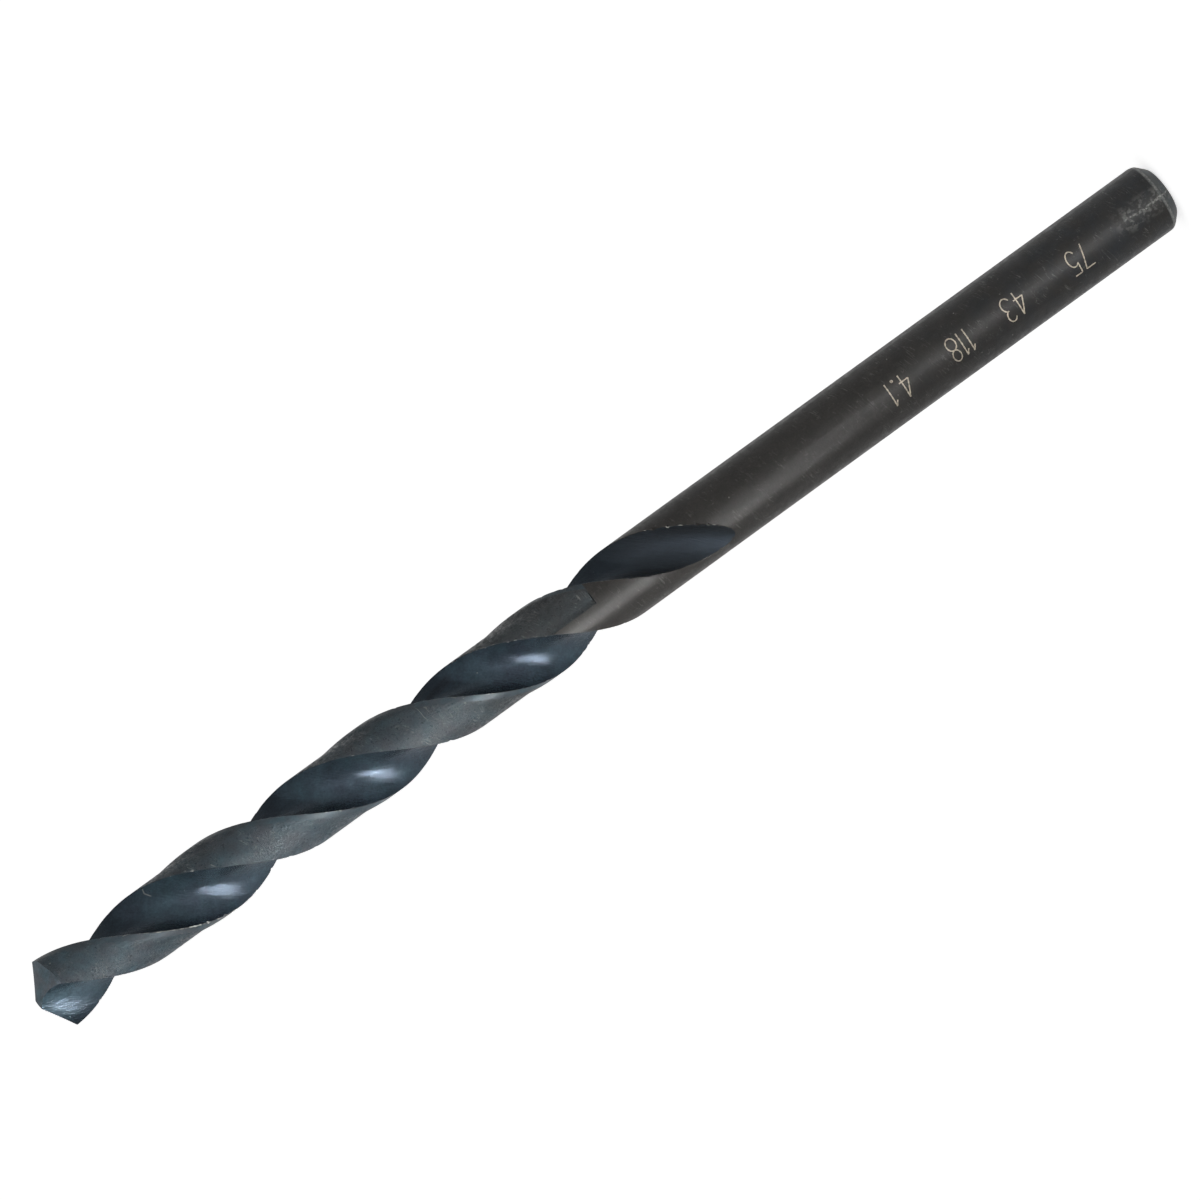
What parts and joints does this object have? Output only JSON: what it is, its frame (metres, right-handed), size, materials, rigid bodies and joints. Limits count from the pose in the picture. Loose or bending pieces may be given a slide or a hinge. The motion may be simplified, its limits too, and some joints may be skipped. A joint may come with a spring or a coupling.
{
  "type": "jobber drill bit",
  "caption": "Straight-shank twist drill with a right-hand helix, conical point, narrow margins and a chamfered shank end.",
  "frame": {"origin": "centre of the flat shank end", "axes": "+Z along the axis, from the shank end to the point; the lips run along X at the point"},
  "size_m": [0.004, 0.004, 0.075],
  "materials": {
    "tempered_steel": "steam-tempered high speed steel, dark grey to brown-black, satin"
  },
  "bodies": {
    "root": {"drill_bit": "tempered_steel"}
  },
  "joints": []
}
